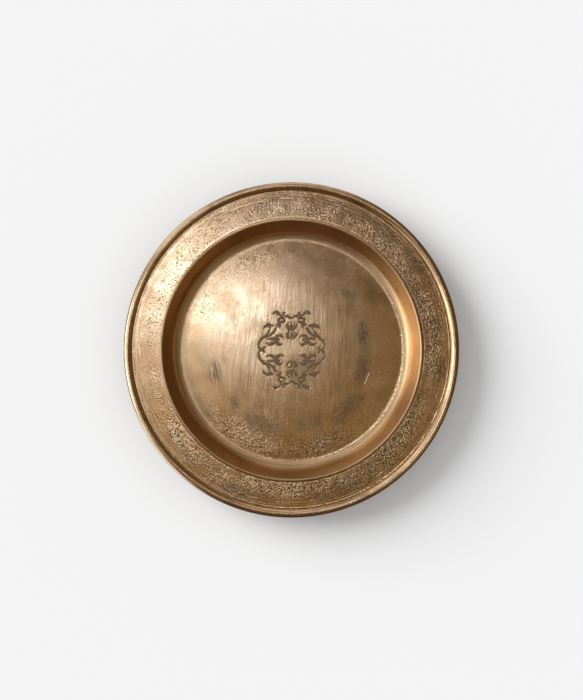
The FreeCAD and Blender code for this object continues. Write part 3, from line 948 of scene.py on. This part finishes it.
# What the metal reflects, in three tints: small bright lamps, soft boxes, and warm walls. Each
# row holds the azimuth and the angle from straight up of its middle, the angles from there at
# which it starts to fade and has faded (all in degrees), and its brightness.
HOT_SPOTS = (
    (134, 2.5, 0.2, 1.2, 10.4),
    (146, 3.7, 0.2, 1.35, 6.6),
    (152, 5.1, 0.2, 1.5, 4.8),
)
SOFT_BOXES = (
    (85, 1.2, 0.3, 2.0, 0.75),
    (150, 11, 2, 6, 2.4),
    (180, 18, 5, 13, 0.5),
    (90, 18, 5, 13, 0.25),
    (110, 33, 6, 16, 0.85),
    (180, 33, 6, 16, 0.7),
    (150, 33, 6, 14, 0.6),
    (205, 42, 6, 16, 0.8),
    (180, 52, 8, 20, 1.0),
    (135, 52, 8, 20, 0.25),
    (180, 76, 10, 26, 2.8),
    (200, 76, 6, 15, 1.4),
    (135, 76, 10, 26, 1.1),
    (90, 76, 10, 26, 0.45),
    (218, 95, 8, 24, 1.8),
    (135, 100, 12, 30, 0.35),
    (85, 100, 12, 30, 0.5),
)
WARM_BOXES = (
    (200, 5, 1, 4, 0.3),
    (330, 5, 2, 7, 0.17),
    (245, 5, 2, 6, 0.05),
    (60, 33, 6, 16, 0.35),
    (325, 37, 6, 20, 0.25),
)
HOT_TINT = (0.83, 1.0, 1.45, 1)
BOX_TINT = (0.93, 1.0, 1.05, 1)
WARM_TINT = (1.15, 1.0, 0.68, 1)
ROOM_LIGHT = (0.110, 0.076, 0.050, 1)   # everywhere round and above the plate
TABLE_LIGHT = (1, 0.97, 0.93, 1)        # what the underside reflects
PALE = 0.913                      # the brightness of the bare floor in the picture
SKY_SHARE = 0.53                  # the share that comes from all round, and not from the key light
FLOOR_COLOUR = 0.9


def glow(shader, towards, boxes):
    """How bright some soft boxes together are in the direction towards which a ray goes."""
    brightness = 0.0
    for azimuth, zenith, inner, outer, strength in boxes:
        facing = shader.node("VectorMath", {"operation": "DOT_PRODUCT"}, _0=towards,
                             _1=direction(azimuth, zenith)).outputs["Value"]
        edge, middle = math.cos(math.radians(outer)), math.cos(math.radians(inner))
        brightness = shader.add(shader.ramp(facing, edge, middle, 0.0, strength), brightness)
    return brightness


def make_studio_floor():
    """A plain pale floor, which the metal doesn't reflect."""
    mesh = bpy.data.meshes.new("studio_floor")
    corners = [(-1, -1), (1, -1), (1, 1), (-1, 1)]
    mesh.from_pydata([(x * FLOOR_REACH, y * FLOOR_REACH, 0) for x, y in corners], [], [(0, 1, 2, 3)])
    ground = bpy.data.objects.new("studio_floor", mesh)
    bpy.context.scene.collection.objects.link(ground)
    ground.visible_glossy = False
    material = bpy.data.materials.new("studio_floor")
    shader = Shader(material)
    shader.finish(shader.node("BsdfDiffuse", Color=(FLOOR_COLOUR, FLOOR_COLOUR, FLOOR_COLOUR, 1)))
    mesh.materials.append(material)


def make_world():
    """The studio that the metal reflects, a soft light for all else, and a pale background."""
    world = bpy.data.worlds.new("studio")
    bpy.context.scene.world = world
    world.cycles.sampling_method = "NONE"
    shader = Shader(world)
    towards = shader.node("TexCoord").outputs["Generated"]
    rays = shader.node("LightPath").outputs
    spots = shader.node("Background", Color=HOT_TINT, Strength=glow(shader, towards, HOT_SPOTS))
    boxes = shader.node("Background", Color=BOX_TINT, Strength=glow(shader, towards, SOFT_BOXES))
    warm = shader.node("Background", Color=WARM_TINT, Strength=glow(shader, towards, WARM_BOXES))
    height = shader.node("SeparateXYZ", _0=towards).outputs[2]
    above = shader.ramp(height, -0.1, 0.25, 0.15, 1.0)
    room = shader.node("Background", Color=ROOM_LIGHT, Strength=above)
    below = shader.node("Background", Color=TABLE_LIGHT, Strength=shader.ramp(height, -0.4, -0.8, 0.0, 0.4))
    studio = spots
    for share in (boxes, warm, room, below):
        studio = shader.node("AddShader", _0=studio.outputs[0], _1=share.outputs[0])
    around = shader.node("Background", Color=(1, 1, 1, 1), Strength=PALE * SKY_SHARE / FLOOR_COLOUR)
    behind = shader.node("Background", Color=(PALE, PALE, PALE, 1), Strength=1.0)
    lit = shader.node("MixShader", _0=rays["Is Glossy Ray"], _1=around.outputs[0], _2=studio.outputs[0])
    seen = shader.node("MixShader", _0=rays["Is Camera Ray"], _1=lit.outputs[0], _2=behind.outputs[0])
    shader.node("OutputWorld", Surface=seen.outputs[0])


def make_key_light():
    """A broad key light at the upper left, which lights the floor and throws the soft shadow."""
    lamp = bpy.data.lights.new("key_light", "SUN")
    lamp.angle = math.radians(KEY_SPREAD)
    lamp.energy = PALE * (1 - SKY_SHARE) / FLOOR_COLOUR * math.pi / math.sin(math.radians(KEY_ELEVATION))
    key = bpy.data.objects.new("key_light", lamp)
    towards = Vector(direction(KEY_AZIMUTH, 90 - KEY_ELEVATION))
    key.rotation_euler = towards.to_track_quat("Z", "Y").to_euler()
    key.visible_glossy = False
    bpy.context.scene.collection.objects.link(key)


def make_camera():
    """A camera straight above the plate, as in the photograph."""
    data = bpy.data.cameras.new("camera")
    data.lens = LENS
    data.sensor_width = 36
    data.clip_start, data.clip_end = 0.01, 100
    camera = bpy.data.objects.new("camera", data)
    camera.location = (0, 0, WIRE_CENTRE + DISTANCE)
    bpy.context.scene.collection.objects.link(camera)
    bpy.context.scene.camera = camera


build_plate()
make_studio_floor()
make_world()
make_key_light()
make_camera()
bpy.context.scene.view_settings.view_transform = "Standard"
